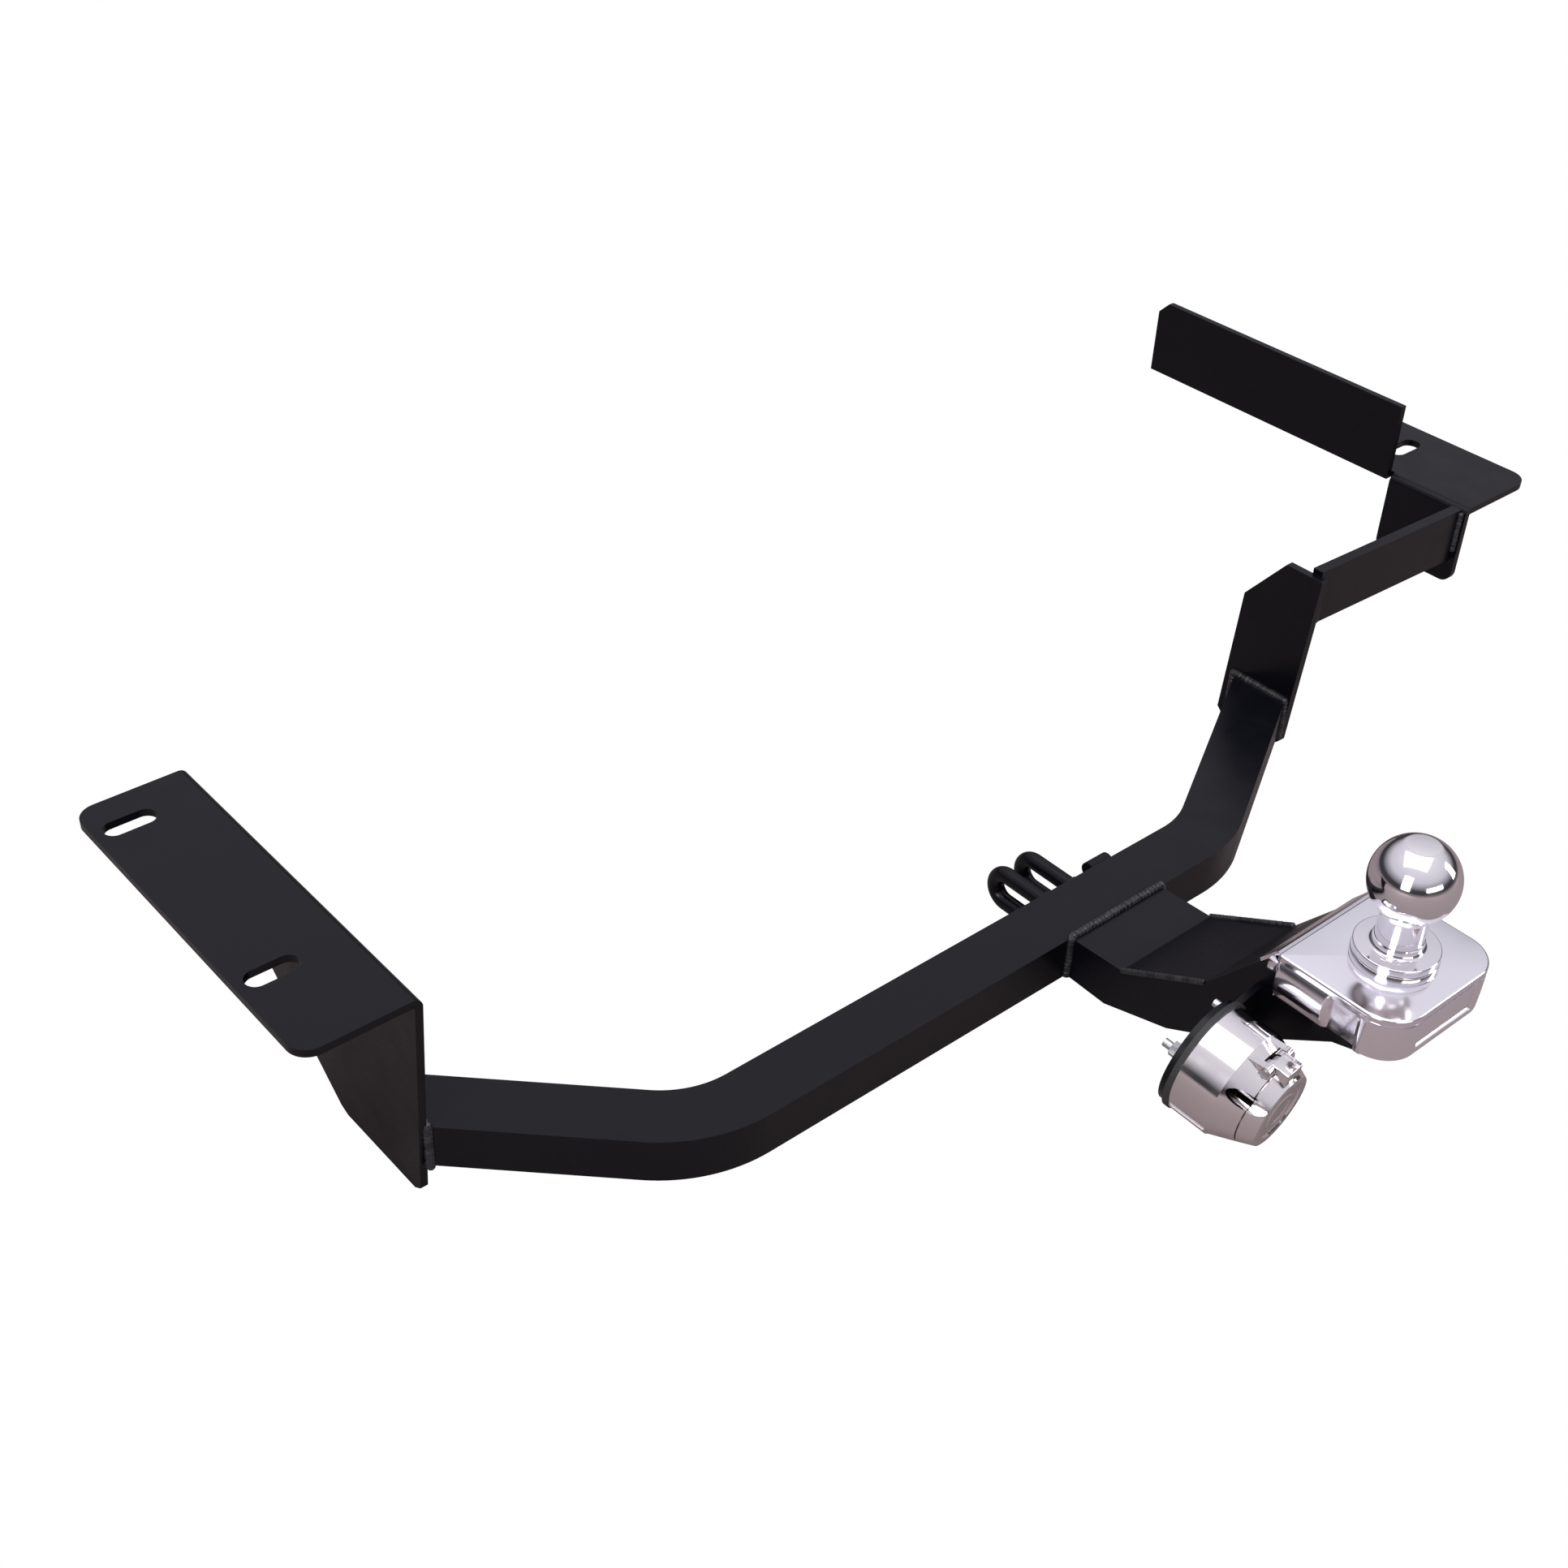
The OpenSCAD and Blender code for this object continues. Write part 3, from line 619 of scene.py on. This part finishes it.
# %% [markdown]
# ## Weld beads
# The bar is welded up, and the beads show at every joint. Each is a line swept
# with a radius that rises and falls like laid ripples, half sunk in the corner.
# A bump on the plates would not catch the light from the side.

# %% Bead builder
random.seed(7)


def bead(points, radius, closed=False, ripple=3.2 * MM):
    """Verts and faces of a rippled bead along straight runs between points."""
    points = [Vector(p) for p in points]
    ends = points + [points[0]] if closed else points
    line, radii = [], []
    run = 0.0
    for a, b in zip(ends, ends[1:]):
        steps = max(2, int((b - a).length / (ripple / 5)))
        for i in range(steps):
            line.append(a.lerp(b, i / steps))
            phase = (run + (b - a).length * i / steps) / ripple
            crest = phase % 1.0
            radii.append(radius * (0.86 + 0.20 * math.sqrt(1 - crest) + 0.05 * random.uniform(-1, 1)))
        run += (b - a).length
    if not closed:
        line.append(ends[-1])
        radii.append(radius * 0.7)
        radii[0] = radius * 0.7
    return swept(line, radii, 10, closed)


def ring_points(centre, radius, normal, count=28):
    normal = Vector(normal).normalized()
    side = normal.orthogonal().normalized()
    up = normal.cross(side)
    return [Vector(centre) + radius * (side * math.cos(math.tau * i / count) + up * math.sin(math.tau * i / count))
            for i in range(count)]


# %% Beads on the bar
tube_low, tube_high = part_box("cross_tube")
post_low, post_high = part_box("right_post")
bar_low, bar_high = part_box("outrigger_bar")
left_low, left_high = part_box("left_bracket")
tongue_low, tongue_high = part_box("tongue_top")
tongue_half = (tongue_high.x - tongue_low.x) / 2
RUN_Y, TUBE_HALF_W, TUBE_HALF_H = -225 * MM, 20 * MM, 15 * MM
tube_mid = (tube_low.z + tube_high.z) / 2
LEFT_BEND_X, LEFT_END_X, LEFT_ANGLE = 314, 436, math.radians(44)
RIGHT_BEND_X, RIGHT_END_X, RIGHT_ANGLE = 109, 271.5, math.radians(28.5)
# where each arm meets its plate, as (x, middle y, half depth)
left_meet = (left_high.x, RUN_Y + (LEFT_END_X - LEFT_BEND_X) * MM * math.tan(LEFT_ANGLE),
             TUBE_HALF_W / math.cos(LEFT_ANGLE))
right_meet = (post_low.x, RUN_Y + (RIGHT_END_X - RIGHT_BEND_X) * MM * math.tan(RIGHT_ANGLE),
              TUBE_HALF_W / math.cos(RIGHT_ANGLE))
made = []
for name, (x, y, half), side in (("left_arm_weld", left_meet, 1), ("right_arm_weld", right_meet, -1)):
    low_z, high_z = tube_mid - TUBE_HALF_H, tube_mid + TUBE_HALF_H
    xx = x + side * 0.8 * MM
    corners = [(xx, y - half - 0.6 * MM, low_z), (xx, y - half - 0.6 * MM, high_z + 0.6 * MM),
               (xx, y + half + 0.6 * MM, high_z + 0.6 * MM), (xx, y + half + 0.6 * MM, low_z)]
    made.append(piece(name, *bead(corners, 3.0 * MM, closed=True), weld_coat, "gloss_black_steel"))
rear = RUN_Y - TUBE_HALF_W - 0.6 * MM
made.append(piece("tongue_weld", *bead(
    [(-tongue_half - 0.6 * MM, rear, tube_mid - TUBE_HALF_H), (-tongue_half - 0.6 * MM, rear, tube_mid + TUBE_HALF_H),
     (-tongue_half, rear + 0.8 * MM, tube_mid + TUBE_HALF_H + 0.8 * MM),
     (tongue_half, rear + 0.8 * MM, tube_mid + TUBE_HALF_H + 0.8 * MM),
     (tongue_half + 0.6 * MM, rear, tube_mid + TUBE_HALF_H), (tongue_half + 0.6 * MM, rear, tube_mid - TUBE_HALF_H)],
    2.8 * MM), weld_coat, "gloss_black_steel"))
outrigger = []
for y in (bar_low.y - 0.5 * MM, bar_high.y + 0.5 * MM):
    for x in (bar_low.x + 0.8 * MM, bar_high.x - 0.8 * MM):
        outrigger.append(bead([(x, y, bar_low.z + 8 * MM), (x, y, bar_high.z - 8 * MM)], 2.4 * MM))
made.append(piece("outrigger_welds", *together(*outrigger), weld_coat, "gloss_black_steel"))
LOOP_BAR, LOOP_GAP, LOOPS_AT = 11 * MM, 10 * MM, (-20.5, 4)
loop_mid = tube_mid - 4 * MM
loop_front = RUN_Y + TUBE_HALF_W + 0.5 * MM
rings = [bead(ring_points((x * MM, loop_front, loop_mid + s * (LOOP_BAR + LOOP_GAP) / 2), LOOP_BAR / 2 + 0.4 * MM,
                          (0, 1, 0)), 1.8 * MM, closed=True, ripple=2.4 * MM)
         for x in LOOPS_AT for s in (-1, 1)]
made.append(piece("loop_welds", *together(*rings), weld_coat, "gloss_black_steel"))
# the slope of the tongue top along each side plate, as (y, z)
SEAM_LOW, SEAM_HIGH = (-286 * MM, -100.4 * MM), (-345 * MM, -68.4 * MM)
seam = []
for s in (-1, 1):
    x = s * (tongue_half - 0.2 * MM)
    seam.append(bead([(x, *SEAM_LOW), (x, *SEAM_HIGH)], 1.8 * MM, ripple=2.6 * MM))
made.append(piece("tongue_seam_welds", *together(*seam), weld_coat, "gloss_black_steel"))
print("weld pieces:", [o.name for o in made])

# %% [markdown]
# ## Softened edges of the plates
# The laser cut plates keep their CAD solids. Their edges are smoothed by angle
# so that the folds shade round and the cut edges stay sharp.

# %% Smooth the CAD nodes
for obj in frame["nodes"].values():
    if not obj.hide_render:
        smooth(obj, 25)

# %% [markdown]
# ## Floor, light and camera
# A pale floor under soft boxes. The floor and the world look white to the
# camera, and darker to the metal, so that the black coat stays black.

# %% Floor
floor_z = cad_low.z - 1.5 * MM
mesh = bpy.data.meshes.new("floor")
REACH = 30.0
mesh.from_pydata([(x * REACH, y * REACH, floor_z) for x, y in ((-1, -1), (1, -1), (1, 1), (-1, 1))],
                 [], [(0, 1, 2, 3)])
floor = bpy.data.objects.new("floor", mesh)
bpy.context.scene.collection.objects.link(floor)
floor_mat = bpy.data.materials.new("pale_floor")
floor_mat.use_nodes = True
tree = floor_mat.node_tree
base = tree.nodes["Principled BSDF"]
base.inputs["Base Color"].default_value = (0.24, 0.20, 0.195, 1)
base.inputs["Roughness"].default_value = 0.9
bright = tree.nodes.new("ShaderNodeEmission")
bright.inputs["Color"].default_value = (1.0, 1.0, 1.0, 1)
bright.inputs["Strength"].default_value = 1.0
shade = tree.nodes.new("ShaderNodeMixShader")
camera_ray = tree.nodes.new("ShaderNodeLightPath")
tree.links.new(camera_ray.outputs["Is Camera Ray"], shade.inputs[0])
tree.links.new(base.outputs[0], shade.inputs[1])
tree.links.new(bright.outputs[0], shade.inputs[2])
tree.links.new(shade.outputs[0], tree.nodes["Material Output"].inputs[0])
mesh.materials.append(floor_mat)

# %% World
world = bpy.data.worlds.new("studio")
bpy.context.scene.world = world
world.use_nodes = True
tree = world.node_tree
back = tree.nodes["Background"]
coords = tree.nodes.new("ShaderNodeTexCoord")
split = tree.nodes.new("ShaderNodeSeparateXYZ")
ramp = tree.nodes.new("ShaderNodeValToRGB")
ramp.color_ramp.elements[0].position = 0.0
ramp.color_ramp.elements[0].color = (0.05, 0.045, 0.045, 1)
ramp.color_ramp.elements[1].position = 1.0
ramp.color_ramp.elements[1].color = (0.95, 0.93, 1.0, 1)
low_sky = ramp.color_ramp.elements.new(0.16)
low_sky.color = (0.05, 0.05, 0.06, 1)
high_sky = ramp.color_ramp.elements.new(0.48)
high_sky.color = (0.66, 0.65, 0.72, 1)
tree.links.new(coords.outputs["Generated"], split.inputs[0])
tree.links.new(split.outputs["Z"], ramp.inputs[0])
white = tree.nodes.new("ShaderNodeBackground")
white.inputs["Color"].default_value = (1, 1, 1, 1)
tree.links.new(ramp.outputs[0], back.inputs["Color"])
shade = tree.nodes.new("ShaderNodeMixShader")
camera_ray = tree.nodes.new("ShaderNodeLightPath")
tree.links.new(camera_ray.outputs["Is Camera Ray"], shade.inputs[0])
tree.links.new(back.outputs[0], shade.inputs[1])
tree.links.new(white.outputs[0], shade.inputs[2])
tree.links.new(shade.outputs[0], tree.nodes["World Output"].inputs[0])


# %% Lights
def soft_box(name, at, towards, wide, tall, power, tint=(1, 1, 1)):
    lamp = bpy.data.lights.new(name, "AREA")
    lamp.shape, lamp.size, lamp.size_y = "RECTANGLE", wide, tall
    lamp.energy, lamp.color = power, tint
    obj = bpy.data.objects.new(name, lamp)
    obj.location = at
    obj.rotation_mode = "QUATERNION"
    obj.rotation_quaternion = (Vector(towards) - Vector(at)).to_track_quat("-Z", "Y")
    bpy.context.scene.collection.objects.link(obj)


middle_point = (0.0, -0.2, -0.05)
soft_box("top_box", (-0.2, -0.3, 2.4), middle_point, 2.6, 2.2, 34, (0.97, 0.97, 1.0))
soft_box("left_window", (-2.2, -0.9, 0.9), middle_point, 0.9, 1.5, 30)
soft_box("right_window", (1.9, -1.9, 0.9), middle_point, 0.6, 1.3, 14, (1.0, 0.97, 0.95))
soft_box("rear_strip", (-0.3, -2.6, 0.5), middle_point, 1.6, 0.35, 10, (1.0, 0.95, 0.93))

# %% Camera
FORWARD = Vector((0.53556, 0.59943, -0.59486))
RIGHT = Vector((0.76159, -0.64720, 0.03350))
UP = Vector((0.36491, 0.47098, 0.80313))
camera = bpy.data.cameras.new("product_camera")
camera.sensor_width = 36
camera.lens = 48.58
camera.clip_start, camera.clip_end = 0.05, 100
stand = bpy.data.objects.new("product_camera", camera)
turn = Matrix((RIGHT, UP, -FORWARD)).transposed().to_4x4()
STAND_AT = (-0.8367, -0.8651, 0.7405)
stand.matrix_world = Matrix.Translation(STAND_AT) @ turn
bpy.context.scene.collection.objects.link(stand)
bpy.context.scene.camera = stand
bpy.context.scene.view_settings.view_transform = "Standard"
